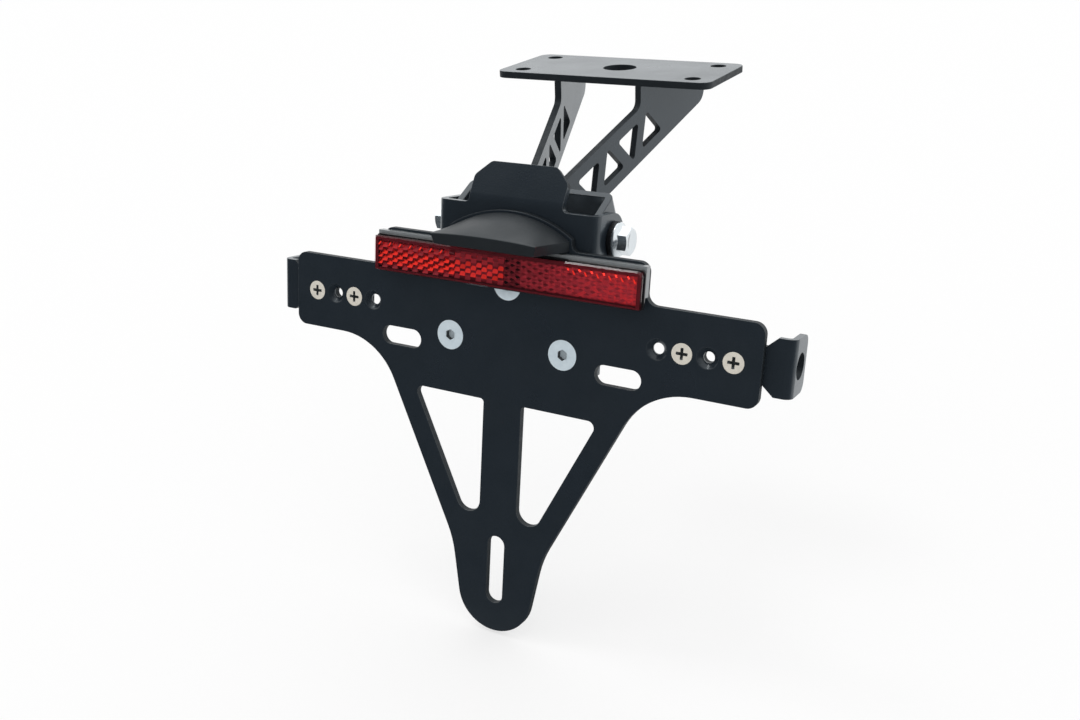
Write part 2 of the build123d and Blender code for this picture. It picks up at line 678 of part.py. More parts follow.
with BuildPart() as light_leds:
    with BuildSketch(board_plane.offset(-light_board_thickness)):
        with Locations((0, -light_reach / 2)):
            with GridLocations(led_pitch, led_pitch, led_count, 1):
                Rectangle(led_size, led_size)
    extrude(amount=-led_height)

with BuildPart() as light_screws:
    head_radius = m3_head_diameter / 2 - seat_gap
    with Locations(*spots(behind_plane, m3_points)):
        Cone(m3_diameter / 2, head_radius, head_radius - m3_diameter / 2,
             align=(Align.CENTER, Align.CENTER, Align.MAX))
        Cylinder(m3_diameter / 2, m3_length, align=(Align.CENTER, Align.CENTER, Align.MAX))

# Reflector: a pad on the shelf, a base on the pad, and the lens in front
with BuildPart() as reflector_pad:
    with BuildSketch(*spots(front_plane, [(0, pad_middle)])):
        Rectangle(reflector_width - 2 * reflector_pad_inset, reflector_pad_height)
    extrude(amount=reflector_pad_depth)

with BuildPart() as reflector_base:
    base_plane = front_plane.offset(reflector_pad_depth)
    with BuildSketch(*spots(base_plane, [(0, reflector_middle)])):
        RectangleRounded(reflector_width, reflector_height, reflector_corner_radius)
    extrude(amount=reflector_base_depth)

with BuildPart() as reflector_lens:
    lens_plane = base_plane.offset(reflector_base_depth)
    red_width = reflector_width - 2 * reflector_lens_inset
    red_height = reflector_height - 2 * reflector_lens_inset
    with BuildSketch(*spots(lens_plane, [(0, reflector_middle)])):
        RectangleRounded(red_width, red_height, reflector_corner_radius)
    extrude(amount=reflector_lens_depth)
    fillet(faces().sort_by(Axis.Y)[0].edges(), reflector_front_radius)

# One STEP file for each piece
os.makedirs("parts", exist_ok=True)

top_plate.part.label = "top_plate"
export_step(top_plate.part, "parts/top_plate.step")

arm_left.part.label = "arm_left"
export_step(arm_left.part, "parts/arm_left.step")

arm_right.part.label = "arm_right"
export_step(arm_right.part, "parts/arm_right.step")

hinge_fork.part.label = "hinge_fork"
export_step(hinge_fork.part, "parts/hinge_fork.step")

pivot_bolt_left.part.label = "pivot_bolt_left"
export_step(pivot_bolt_left.part, "parts/pivot_bolt_left.step")

pivot_bolt_right.part.label = "pivot_bolt_right"
export_step(pivot_bolt_right.part, "parts/pivot_bolt_right.step")

pivot_outer_washer_left.part.label = "pivot_outer_washer_left"
export_step(pivot_outer_washer_left.part, "parts/pivot_outer_washer_left.step")

pivot_outer_washer_right.part.label = "pivot_outer_washer_right"
export_step(pivot_outer_washer_right.part, "parts/pivot_outer_washer_right.step")

pivot_washer_left.part.label = "pivot_washer_left"
export_step(pivot_washer_left.part, "parts/pivot_washer_left.step")

pivot_washer_right.part.label = "pivot_washer_right"
export_step(pivot_washer_right.part, "parts/pivot_washer_right.step")

pivot_nut_left.part.label = "pivot_nut_left"
export_step(pivot_nut_left.part, "parts/pivot_nut_left.step")

pivot_nut_right.part.label = "pivot_nut_right"
export_step(pivot_nut_right.part, "parts/pivot_nut_right.step")

hinge_bracket.part.label = "hinge_bracket"
export_step(hinge_bracket.part, "parts/hinge_bracket.step")

plate_panel.part.label = "plate_panel"
export_step(plate_panel.part, "parts/plate_panel.step")

panel_screws.part.label = "panel_screws"
export_step(panel_screws.part, "parts/panel_screws.step")

panel_nuts.part.label = "panel_nuts"
export_step(panel_nuts.part, "parts/panel_nuts.step")

indicator_bracket_left.part.label = "indicator_bracket_left"
export_step(indicator_bracket_left.part, "parts/indicator_bracket_left.step")

indicator_bracket_right.part.label = "indicator_bracket_right"
export_step(indicator_bracket_right.part, "parts/indicator_bracket_right.step")

indicator_screws_left.part.label = "indicator_screws_left"
export_step(indicator_screws_left.part, "parts/indicator_screws_left.step")

indicator_screws_right.part.label = "indicator_screws_right"
export_step(indicator_screws_right.part, "parts/indicator_screws_right.step")

indicator_nuts_left.part.label = "indicator_nuts_left"
export_step(indicator_nuts_left.part, "parts/indicator_nuts_left.step")

indicator_nuts_right.part.label = "indicator_nuts_right"
export_step(indicator_nuts_right.part, "parts/indicator_nuts_right.step")

light_housing.part.label = "light_housing"
export_step(light_housing.part, "parts/light_housing.step")

light_lens.part.label = "light_lens"
export_step(light_lens.part, "parts/light_lens.step")

light_board.part.label = "light_board"
export_step(light_board.part, "parts/light_board.step")

light_leds.part.label = "light_leds"
export_step(light_leds.part, "parts/light_leds.step")

light_screws.part.label = "light_screws"
export_step(light_screws.part, "parts/light_screws.step")

reflector_pad.part.label = "reflector_pad"
export_step(reflector_pad.part, "parts/reflector_pad.step")

reflector_base.part.label = "reflector_base"
export_step(reflector_base.part, "parts/reflector_base.step")

reflector_lens.part.label = "reflector_lens"
export_step(reflector_lens.part, "parts/reflector_lens.step")
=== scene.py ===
import json
import random
from math import cos, floor, pi, radians, sin

import bmesh
import bpy
from mathutils import Matrix, Vector


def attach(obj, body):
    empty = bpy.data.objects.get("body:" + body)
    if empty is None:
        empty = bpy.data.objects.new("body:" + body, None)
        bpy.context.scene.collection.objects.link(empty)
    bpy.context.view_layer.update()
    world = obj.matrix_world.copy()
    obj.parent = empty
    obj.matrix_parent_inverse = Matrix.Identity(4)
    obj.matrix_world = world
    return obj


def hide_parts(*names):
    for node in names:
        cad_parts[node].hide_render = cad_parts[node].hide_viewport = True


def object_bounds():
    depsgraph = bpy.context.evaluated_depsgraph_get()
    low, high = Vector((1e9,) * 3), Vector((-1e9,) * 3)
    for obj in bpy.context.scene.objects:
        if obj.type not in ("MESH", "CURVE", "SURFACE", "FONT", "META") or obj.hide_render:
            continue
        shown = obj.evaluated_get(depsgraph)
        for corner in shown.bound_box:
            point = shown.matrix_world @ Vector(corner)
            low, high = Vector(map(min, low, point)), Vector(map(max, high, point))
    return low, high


# Tail tidy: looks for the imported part. Metres, in the part's own frame; sizes of pieces are in millimetres.
# Nothing here changes the part's size: edges are softened, fasteners get threads, and surfaces get a finish.

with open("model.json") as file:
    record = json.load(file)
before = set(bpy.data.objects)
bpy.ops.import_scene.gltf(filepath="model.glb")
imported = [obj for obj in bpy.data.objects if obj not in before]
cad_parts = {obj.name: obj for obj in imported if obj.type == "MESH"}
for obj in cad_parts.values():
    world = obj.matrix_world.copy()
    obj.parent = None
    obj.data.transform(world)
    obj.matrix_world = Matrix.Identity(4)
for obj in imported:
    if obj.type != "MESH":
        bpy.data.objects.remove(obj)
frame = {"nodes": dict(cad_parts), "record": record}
cad_low, cad_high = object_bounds()
nodes = frame["nodes"]
record = frame["record"]
body_of_node = {n: body for body, members in record["behaviour"]["bodies"].items() for n in members}
slot_of_node = {p["node"]: p["material_slot"] for p in record["subparts"]}

# The panel's own directions, from the mount of the number plate
slots_below_screws = 4.8
plate_mount = next(m for m in record["mounts"] if m["name"] == "number_plate")
across = Vector((1, 0, 0))
panel_out = Vector(plate_mount["axis"]).normalized()
panel_up = panel_out.cross(across)
panel_origin = Vector(plate_mount["pos_m"]) + panel_up * slots_below_screws / 1000


def on_panel(u, v, n):
    """Point at a place across, up and out of the panel's front face, in millimetres."""
    return panel_origin + (across * u + panel_up * v + panel_out * n) / 1000


# Materials, and the part of the noise's range that roughness follows
noise_low, noise_high = 0.3, 0.7


def new_material(name, colour, roughness, metallic=0.0, specular=0.5):
    """A material with one plain finish."""
    made = bpy.data.materials.new(name)
    made.use_nodes = True
    shader = made.node_tree.nodes["Principled BSDF"]
    shader.inputs["Base Color"].default_value = (*colour, 1)
    shader.inputs["Roughness"].default_value = roughness
    shader.inputs["Metallic"].default_value = metallic
    shader.inputs["Specular IOR Level"].default_value = specular
    return made


def add_gloss(made, weight, roughness):
    """A clear top layer."""
    shader = made.node_tree.nodes["Principled BSDF"]
    shader.inputs["Coat Weight"].default_value = weight
    shader.inputs["Coat Roughness"].default_value = roughness


def add_tint(made, colour):
    """A colour for what the surface mirrors."""
    shader = made.node_tree.nodes["Principled BSDF"]
    shader.inputs["Specular Tint"].default_value = (*colour, 1)
    shader.inputs["Coat Tint"].default_value = (*colour, 1)


def noise(made, scale, detail):
    """Noise in the part's own frame, with this many cells to a metre."""
    tree = made.node_tree
    place = tree.nodes.new("ShaderNodeTexCoord")
    texture = tree.nodes.new("ShaderNodeTexNoise")
    texture.inputs["Scale"].default_value = scale
    texture.inputs["Detail"].default_value = detail
    tree.links.new(place.outputs["Object"], texture.inputs["Vector"])
    return texture.outputs["Fac"]


def vary_colour(made, factor, low, high):
    """The base colour goes from low to high with the factor."""
    tree = made.node_tree
    mix = tree.nodes.new("ShaderNodeMix")
    mix.data_type = "RGBA"
    mix.inputs["A"].default_value = (*low, 1)
    mix.inputs["B"].default_value = (*high, 1)
    tree.links.new(factor, mix.inputs["Factor"])
    tree.links.new(mix.outputs["Result"], tree.nodes["Principled BSDF"].inputs["Base Color"])


def vary_roughness(made, factor, low, high):
    """The roughness goes from low to high over the middle of the factor's range."""
    tree = made.node_tree
    span = tree.nodes.new("ShaderNodeMapRange")
    span.inputs["From Min"].default_value = noise_low
    span.inputs["From Max"].default_value = noise_high
    span.inputs["To Min"].default_value = low
    span.inputs["To Max"].default_value = high
    tree.links.new(factor, span.inputs["Value"])
    tree.links.new(span.outputs["Result"], tree.nodes["Principled BSDF"].inputs["Roughness"])


def add_bump(made, factor, height, strength):
    """Relief of this height in metres, in the clear top layer too."""
    tree = made.node_tree
    bump = tree.nodes.new("ShaderNodeBump")
    bump.inputs["Strength"].default_value = strength
    bump.inputs["Distance"].default_value = height
    tree.links.new(factor, bump.inputs["Height"])
    shader = tree.nodes["Principled BSDF"]
    tree.links.new(bump.outputs["Normal"], shader.inputs["Normal"])
    tree.links.new(bump.outputs["Normal"], shader.inputs["Coat Normal"])


# Powder coat on the sheet metal: cool black, satin, with a fine grain
cool_gloss = (0.86, 0.95, 1.0)
coat = new_material("black_coat", (0.015, 0.020, 0.026), 0.30)
add_gloss(coat, 0.5, 0.10)
add_tint(coat, cool_gloss)
vary_colour(coat, noise(coat, 90, 4), (0.012, 0.017, 0.023), (0.018, 0.023, 0.030))
vary_roughness(coat, noise(coat, 35, 5), 0.25, 0.37)
add_bump(coat, noise(coat, 1500, 3), 0.00008, 0.6)

# The same coat on the softened edges, lighter than the faces: a painted highlight along the edges
coat_edge_highlight = new_material("black_coat_edge_highlight", (0.024, 0.028, 0.033), 0.28)
add_gloss(coat_edge_highlight, 0.5, 0.10)
add_tint(coat_edge_highlight, cool_gloss)
vary_colour(coat_edge_highlight, noise(coat_edge_highlight, 260, 4), (0.016, 0.020, 0.025), (0.034, 0.038, 0.043))
vary_roughness(coat_edge_highlight, noise(coat_edge_highlight, 300, 3), 0.24, 0.36)

# The same coat on the sheet's cut sides, which are rougher
coat_cut = new_material("black_coat_cut", (0.014, 0.018, 0.022), 0.55, specular=0.35)
add_tint(coat_cut, cool_gloss)
vary_colour(coat_cut, noise(coat_cut, 300, 4), (0.010, 0.014, 0.018), (0.018, 0.022, 0.026))
vary_roughness(coat_cut, noise(coat_cut, 400, 3), 0.48, 0.62)
add_bump(coat_cut, noise(coat_cut, 1400, 2), 0.00008, 0.6)

# Plated screws, bolts and nuts
zinc = new_material("zinc", (0.70, 0.80, 0.86), 0.42, metallic=0.2)
vary_colour(zinc, noise(zinc, 420, 4), (0.60, 0.71, 0.78), (0.78, 0.88, 0.93))
vary_roughness(zinc, noise(zinc, 700, 4), 0.34, 0.5)
add_bump(zinc, noise(zinc, 1800, 2), 0.00003, 0.4)

bright_zinc = new_material("bright_zinc", (0.80, 0.85, 0.88), 0.16, metallic=0.95)
vary_colour(bright_zinc, noise(bright_zinc, 380, 4), (0.72, 0.79, 0.83), (0.88, 0.91, 0.93))
vary_roughness(bright_zinc, noise(bright_zinc, 600, 4), 0.10, 0.24)
add_bump(bright_zinc, noise(bright_zinc, 1500, 2), 0.00003, 0.3)

nickel = new_material("nickel", (0.81, 0.76, 0.67), 0.36, metallic=0.2)
vary_colour(nickel, noise(nickel, 500, 4), (0.70, 0.66, 0.58), (0.90, 0.85, 0.75))
vary_roughness(nickel, noise(nickel, 900, 3), 0.28, 0.44)
add_bump(nickel, noise(nickel, 2000, 2), 0.00003, 0.3)

black_zinc = new_material("black_zinc", (0.014, 0.015, 0.017), 0.3, metallic=0.4)
vary_roughness(black_zinc, noise(black_zinc, 500, 3), 0.22, 0.4)

# Walls of the screws' recesses, darker than the heads: painted shade in the recesses
shaded_recess_look = new_material("screw_recess_shade", (0.07, 0.08, 0.085), 0.4, metallic=0.3)
vary_colour(shaded_recess_look, noise(shaded_recess_look, 1500, 3), (0.04, 0.048, 0.052), (0.11, 0.118, 0.12))

# Plastic rings of the lock nuts
nylon = new_material("nylon_ring", (0.78, 0.79, 0.76), 0.45)
vary_colour(nylon, noise(nylon, 900, 2), (0.72, 0.73, 0.70), (0.84, 0.85, 0.82))

# Moulded light, with its lens, board and lamps
housing = new_material("housing_plastic", (0.014, 0.017, 0.020), 0.44, specular=0.55)
add_tint(housing, cool_gloss)
vary_colour(housing, noise(housing, 150, 3), (0.012, 0.015, 0.018), (0.016, 0.019, 0.022))
vary_roughness(housing, noise(housing, 60, 3), 0.40, 0.5)
add_bump(housing, noise(housing, 2600, 2), 0.00004, 0.5)

clear_lens = new_material("clear_lens", (0.95, 0.97, 0.97), 0.12)
clear_lens.node_tree.nodes["Principled BSDF"].inputs["Transmission Weight"].default_value = 1.0
add_bump(clear_lens, noise(clear_lens, 900, 0), 0.00005, 0.4)

board = new_material("board", (0.75, 0.76, 0.74), 0.4)
vary_colour(board, noise(board, 250, 2), (0.70, 0.71, 0.69), (0.80, 0.81, 0.79))

lamp = new_material("lamp", (0.85, 0.72, 0.18), 0.3)
vary_colour(lamp, noise(lamp, 1200, 2), (0.78, 0.64, 0.14), (0.90, 0.78, 0.24))

# The reflector's pad and base
foam = new_material("foam_pad", (0.22, 0.24, 0.25), 0.6)
add_gloss(foam, 1.0, 0.1)
vary_colour(foam, noise(foam, 700, 3), (0.17, 0.19, 0.20), (0.27, 0.29, 0.30))
add_bump(foam, noise(foam, 1200, 4), 0.0001, 0.5)

base_plastic = new_material("base_plastic", (0.010, 0.010, 0.011), 0.16)
add_gloss(base_plastic, 0.6, 0.06)
vary_roughness(base_plastic, noise(base_plastic, 120, 3), 0.12, 0.22)

# Reds of the prisms, from the darkest to the brightest, and how far the brightest mirror as metal does. The
# red is the lens's own; its spread from dark to bright is painted shade and painted highlight
darkest_red, brightest_red = (0.008, 0.0, 0.001), (1.0, 0.045, 0.03)
reds_between = ((0.25, (0.09, 0.008, 0.013)), (0.5, (0.30, 0.024, 0.036)), (0.75, (0.65, 0.028, 0.032)))
mirror_from, mirror_most = 0.9, 0.85


def make_prism_look():
    """Prisms take their red from how bright each facet looks, a number kept on the facet: painted highlight
    and painted shade.
    """
    made = new_material("prisms", (0.3, 0.01, 0.014), 0.22, specular=0.15)
    tree = made.node_tree
    shader = tree.nodes["Principled BSDF"]
    painted_shine = tree.nodes.new("ShaderNodeAttribute")
    painted_shine.attribute_name = "painted_shine"
    reds = tree.nodes.new("ShaderNodeValToRGB")
    reds.color_ramp.elements[0].color = (*darkest_red, 1)
    reds.color_ramp.elements[1].color = (*brightest_red, 1)
    for place, colour in reds_between:
        reds.color_ramp.elements.new(place).color = (*colour, 1)
    tree.links.new(painted_shine.outputs["Fac"], reds.inputs["Fac"])
    tree.links.new(reds.outputs["Color"], shader.inputs["Base Color"])
    metal = tree.nodes.new("ShaderNodeMapRange")
    metal.inputs["From Min"].default_value = mirror_from
    metal.inputs["To Max"].default_value = mirror_most
    tree.links.new(painted_shine.outputs["Fac"], metal.inputs["Value"])
    tree.links.new(metal.outputs["Result"], shader.inputs["Metallic"])
    return made


def make_red_skin():
    """Clear red skin over the prisms: see-through, with the gloss of its outer surface."""
    made = bpy.data.materials.new("red_skin")
    made.use_nodes = True
    tree = made.node_tree
    tree.nodes.remove(tree.nodes["Principled BSDF"])
    clear = tree.nodes.new("ShaderNodeBsdfTransparent")
    clear.inputs["Color"].default_value = (1.0, 0.9, 0.9, 1)
    gloss = tree.nodes.new("ShaderNodeBsdfGlossy")
    gloss.inputs["Roughness"].default_value = 0.05
    fresnel = tree.nodes.new("ShaderNodeFresnel")
    fresnel.inputs["IOR"].default_value = 1.49
    side = tree.nodes.new("ShaderNodeNewGeometry")
    outside = tree.nodes.new("ShaderNodeMapRange")
    outside.inputs["To Min"].default_value = 1.0
    outside.inputs["To Max"].default_value = 0.0
    tree.links.new(side.outputs["Backfacing"], outside.inputs["Value"])
    share = tree.nodes.new("ShaderNodeMath")
    share.operation = "MULTIPLY"
    tree.links.new(fresnel.outputs["Fac"], share.inputs[0])
    tree.links.new(outside.outputs["Result"], share.inputs[1])
    mix = tree.nodes.new("ShaderNodeMixShader")
    tree.links.new(share.outputs["Value"], mix.inputs["Fac"])
    tree.links.new(clear.outputs["BSDF"], mix.inputs[1])
    tree.links.new(gloss.outputs["BSDF"], mix.inputs[2])
    tree.links.new(mix.outputs["Shader"], tree.nodes["Material Output"].inputs["Surface"])
    return made


prisms = make_prism_look()
red_skin = make_red_skin()

# Each slot's material on its faces and on its softened edges, and the width of those edges; the black coat's
# edges carry a painted highlight
finish = {"black_coat": (coat, coat_edge_highlight, 0.35), "zinc": (bright_zinc, bright_zinc, 0.2),
          "black_zinc": (black_zinc, black_zinc, 0.15), "housing_plastic": (housing, housing, 0.25),
          "clear_lens": (clear_lens, clear_lens, 0.12), "board": (board, board, 0.06),
          "lamp": (lamp, lamp, 0.12), "foam_pad": (foam, foam, 0.1),
          "base_plastic": (base_plastic, base_plastic, 0.4)}

# The material on the cut sides of a slot's sheet
cut_looks = {"black_coat": coat_cut}


def add_piece(name, form, looks, node):
    """A new object made of the form with these looks, which rides with the node's body."""
    mesh = bpy.data.meshes.new(name)
    form.to_mesh(mesh)
    form.free()
    for look in looks:
        mesh.materials.append(look)
    piece = bpy.data.objects.new(name, mesh)
    bpy.context.scene.collection.objects.link(piece)
    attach(piece, body_of_node[node])
    return piece


def shade_smooth(piece):
    """Smooth shading all over."""
    piece.data.polygons.foreach_set("use_smooth", [True] * len(piece.data.polygons))


# Fasteners, made of rings about an axis. Each ring's radius and height are numbers or functions of the angle
ring_points = 48
chamfer_slope = 0.577
least_sine = 0.01
thread_depth, rings_per_turn = 0.54, 8
turned_sharp = radians(32)
turned_nodes = set()


def ring(radius, height):
    """One turn of points about the axis."""
    points = []
    for k in range(ring_points):
        angle = 2 * pi * k / ring_points
        r = radius(angle) if callable(radius) else radius
        h = height(angle) if callable(height) else height
        points.append(Vector((r * cos(angle), r * sin(angle), h)))
    return points


def hexagon(flats, turn):
    """Radius of a hexagon of this width across flats, as a function of the angle."""
    return lambda angle: flats / 2 / cos((angle - turn) % (pi / 3) - pi / 6)


def cross(length, width, share=1.0):
    """Radius of a cross recess, as a function of the angle."""
    def radius(angle):
        off = abs((angle + pi / 4) % (pi / 2) - pi / 4)
        return share * min(length / 2, width / 2 / max(sin(off), least_sine))
    return radius


def turned_corners(outline, end, way, free):
    """Height of an outline's end with its corners turned off outside a radius; way is 1 where more is up."""
    return lambda angle: end - way * chamfer_slope * max(0.0, outline(angle) - free)


def thread(diameter, pitch, start, end):
    """Rings of a screw thread between two heights. Its depth is a share of the pitch."""
    depth = thread_depth * pitch
    count = max(2, round(abs(end - start) / pitch * rings_per_turn))
    made = []
    for k in range(count + 1):
        height = start + (end - start) * k / count
        made.append(ring(lambda angle: diameter / 2 - depth * abs(
            2 * ((height / pitch - angle / (2 * pi)) % 1) - 1), height))
    return made


def add_turned(node, places, bands, looks, loop=False):
    """Rings joined at each place, which stand for the node.

    A place is an origin, a direction to the side and an axis. A band is rings and the number of their look.
    """
    rings = [made for band, look in bands for made in band]
    ring_looks = [look for band, look in bands for made in band]
    form = bmesh.new()
    for origin, side, axis in places:
        third = axis.cross(side)
        rows = []
        for made in rings:
            spots = [origin + (side * p.x + third * p.y + axis * p.z) / 1000 for p in made]
            rows.append([form.verts.new(spot) for spot in spots])
        pairs = list(zip(rows, rows[1:])) + ([(rows[-1], rows[0])] if loop else [])
        for (below, above), look in zip(pairs, ring_looks):
            for k in range(ring_points):
                m = (k + 1) % ring_points
                form.faces.new((below[k], below[m], above[m], above[k])).material_index = look
        if not loop:
            form.faces.new(reversed(rows[0])).material_index = ring_looks[0]
            form.faces.new(rows[-1]).material_index = ring_looks[-1]
    bmesh.ops.recalc_face_normals(form, faces=form.faces)
    piece = add_piece(node + "_look", form, looks, node)
    shade_smooth(piece)
    piece.data.set_sharp_from_angle(angle=turned_sharp)
    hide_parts(node)
    turned_nodes.add(node)


# Countersunk screws: the head's round edge by inset and drop, and the tip by share of the radius and rise
head_edge = ((0.15, 0), (0.08, 0.015), (0.05, 0.05))
tip_edge = ((0.78, 0.12), (0.70, 0))

# The shank's end and the thread's start as shares of the length, the thread's play and its end above the tip
shank_share, thread_share = 0.72, 0.75
thread_gap, thread_rise = 0.06, 0.5


def screw_bands(diameter, pitch, head_radius, length, recess):
    """A countersunk screw from the bottom of its recess to its tip, with its face at 0."""
    r = diameter / 2
    head = [ring(head_radius - inset, -drop) for inset, drop in head_edge]
    shank = [ring(r, r - head_radius), ring(r, -length * shank_share)]
    turns = thread(diameter - thread_gap, pitch, -length * thread_share, thread_rise - length)
    tip = [ring(share * r, rise - length) for share, rise in tip_edge]
    return recess + [(head + shank + turns + tip, 0)]


# Lock nuts: the turn of the hexagon, how far in its corners are turned off, and the bore
hexagon_turn = radians(30)
corner_inset = 0.15
bore_gap, bore_chamfer, bore_end = 0.06, 0.35, 0.4

# The collar's foot outside its radius and above the hexagon, and its lip inside its radius and below its top
collar_foot = ((0.1, 0.03), (0, 0.15))
collar_lip = ((0, 0.45), (0.13, 0.15), (0.4, 0), (0.65, 0.08))

# The plastic ring in the collar, from its outside to its bore
insert_inset, insert_drop = 0.7, 0.3
insert_lip, insert_lip_drop, insert_depth = 0.12, 0.34, 0.5


def nut_bands(diameter, flats, height, collar_radius, collar_height):
    """A lock nut from its seat to its collar, back through its plastic ring and its bore."""
    bore = diameter / 2 + bore_gap
    free = flats / 2 - corner_inset
    outline = hexagon(flats, hexagon_turn)
    top = height + collar_height
    shell = [ring(bore + bore_chamfer, 0), ring(free, 0), ring(outline, turned_corners(outline, 0, -1, free)),
             ring(outline, turned_corners(outline, height, 1, free)), ring(free, height)]
    shell += [ring(collar_radius + spread, height + rise) for spread, rise in collar_foot]
    shell += [ring(collar_radius - inset, top - drop) for inset, drop in collar_lip]
    insert = [ring(collar_radius - insert_inset, top - insert_drop),
              ring(bore + insert_lip, top - insert_lip_drop), ring(bore, top - insert_depth)]
    inside = [ring(bore, height - bore_end), ring(bore, bore_chamfer)]
    return [(shell, 0), (insert, 1), (inside, 0)]


def panel_places(points, depth, way):
    """Places at points of the panel, at a depth behind its face. The axis looks out where way is 1."""
    return [(on_panel(u, v, -depth), across * way, panel_out * way) for u, v in points]


# Both sides, and the way of each across the part
sides = (("right", 1), ("left", -1))

# M6 countersunk screws with a hexagon socket over a drilled point, and their lock nuts
m6_points = [(-26.0, 0), (26.0, 0), (0, 24.5)]
m6_screw = {"diameter": 6.0, "pitch": 1.0, "head_radius": 6.25, "length": 13.8}
m6_nut = {"diameter": 6.0, "flats": 10.0, "height": 5.0, "collar_radius": 4.3, "collar_height": 1.6}
m6_nut_depth = 6.0
drilled_point = ((0.3, 2.75), (1.6, 2.45))
socket_flats, socket_depth, socket_edge, socket_mouth = 4.0, 2.4, 0.2, 2.4
socket = hexagon(socket_flats, hexagon_turn)
# The socket's walls, look 1, take the painted shade of the recess
m6_recess = [([ring(radius, -depth) for radius, depth in drilled_point], 0),
             ([ring(socket, -socket_depth)], 1),
             ([ring(socket, -socket_edge), ring(socket_mouth, 0)], 0)]
add_turned("panel_screws", panel_places(m6_points, 0, 1), screw_bands(**m6_screw, recess=m6_recess),
           [zinc, shaded_recess_look])
add_turned("panel_nuts", panel_places(m6_points, m6_nut_depth, -1), nut_bands(**m6_nut),
           [bright_zinc, nylon], loop=True)

# M4 countersunk screws with a cross recess, given by shares of its outline and depths, and their lock nuts
m4_points = [(95.3, 9.0), (75.3, 9.0)]
m4_screw = {"diameter": 4.0, "pitch": 0.7, "head_radius": 4.15, "length": 11.0}
m4_nut = {"diameter": 4.0, "flats": 7.0, "height": 3.4, "collar_radius": 3.0, "collar_height": 1.3}
m4_nut_depth = 5.5
cross_length, cross_width = 4.7, 1.2
cross_point, cross_depth = 0.1, 1.75
cross_steps = ((0.5, 1.55), (0.95, 0.1))
cross_walls = [ring(cross(cross_length, cross_width, share), -depth) for share, depth in cross_steps]
# The cross's walls, look 1, take the painted shade of the recess
m4_recess = [([ring(cross_point, -cross_depth)] + cross_walls, 1),
             ([ring(cross(cross_length, cross_width), 0)], 0)]
for side, way in sides:
    points = [(way * u, v) for u, v in m4_points]
    add_turned("indicator_screws_" + side, panel_places(points, 0, 1),
               screw_bands(**m4_screw, recess=m4_recess), [nickel, shaded_recess_look])
    add_turned("indicator_nuts_" + side, panel_places(points, m4_nut_depth, -1), nut_bands(**m4_nut),
               [bright_zinc, nylon], loop=True)

# Pivot bolts with flanged heads, and the lock nuts inside the fork. The seat of a bolt's head is at 0
pivot_axis = Vector((0, -87.0, -50.0))
fork_lean = radians(22.5)
fork_forward = Vector((0, cos(fork_lean), sin(fork_lean)))
head_face, nut_face = 37.9, 28.3
bolt_turn = {"right": 0.0, "left": 15.0}
bolt_radius, bolt_length, bolt_pitch = 3.0, 17.4, 1.0
bolt_tip = ((2.1, 0), (2.35, 0.15))
bolt_thread_low, bolt_thread_high, bolt_shank_low = 0.5, 5.0, 5.2
flange, cone_foot, cone_top = 7.1, 1.1, 2.4
flange_edge = ((6.6, 0), (6.95, 0.12), (flange, 0.4), (flange, 0.8), (6.98, 1.05), (6.7, 1.3))
head_flats, head_free, head_top = 10.0, 4.85, 6.2
head_dish = ((head_free, 0), (3.9, 0), (3.6, 0.18), (0.4, 0.22))
head_outline = hexagon(head_flats, 0)


def on_cone(angle):
    """Height at which the hexagon leaves the cone of the flange."""
    return cone_foot + (flange - head_outline(angle)) / (flange - head_flats / 2) * (cone_top - cone_foot)


def bolt_rings():
    """A pivot bolt from its tip to the dish in its head."""
    tip = [ring(radius, rise - bolt_length) for radius, rise in bolt_tip]
    turns = thread(2 * bolt_radius - thread_gap, bolt_pitch, bolt_thread_low - bolt_length,
                   bolt_thread_high - bolt_length)
    shank = [ring(bolt_radius, bolt_shank_low - bolt_length), ring(bolt_radius, 0)]
    seat = [ring(radius, height) for radius, height in flange_edge]
    head = [ring(head_outline, on_cone),
            ring(head_outline, turned_corners(head_outline, head_top, 1, head_free))]
    dish = [ring(radius, head_top - drop) for radius, drop in head_dish]
    return tip + turns + shank + seat + head + dish


for side, way in sides:
    bolt_place = (pivot_axis + across * way * head_face) / 1000
    nut_place = (pivot_axis + across * way * nut_face) / 1000
    head_side = Matrix.Rotation(radians(bolt_turn[side]), 3, "X") @ fork_forward
    add_turned("pivot_bolt_" + side, [(bolt_place, head_side, across * way)], [(bolt_rings(), 0)],
               [bright_zinc])
    add_turned("pivot_nut_" + side, [(nut_place, fork_forward, across * -way)], nut_bands(**m6_nut),
               [bright_zinc, nylon], loop=True)

# Softened copies of the other CAD pieces. Distances for joining points are in metres
same_place = 2e-6
flat_angle = radians(0.3)
soft_angle, soft_steps = radians(30), 2
square_angle = radians(60)
sheet_least, sheet_most = 2.2, 3.3
flat_weight = 100


def apart(first, second):
    """Distance between the middles of two edges, in millimetres."""
    first_sum = first.verts[0].co + first.verts[1].co
    second_sum = second.verts[0].co + second.verts[1].co
    return (first_sum - second_sum).length / 2 * 1000


def is_cut_side(face):
    """True where a face runs between two square edges that are as far apart as the sheet is thick."""
    square = [e for e in face.edges if e.is_manifold and e.calc_face_angle() > square_angle]
    if len(face.edges) != 4 or len(square) < 2:
        return False
    pairs = [(a, b) for a in square for b in square if a.index < b.index and not set(a.verts) & set(b.verts)]
    return any(sheet_least < apart(a, b) < sheet_most for a, b in pairs)


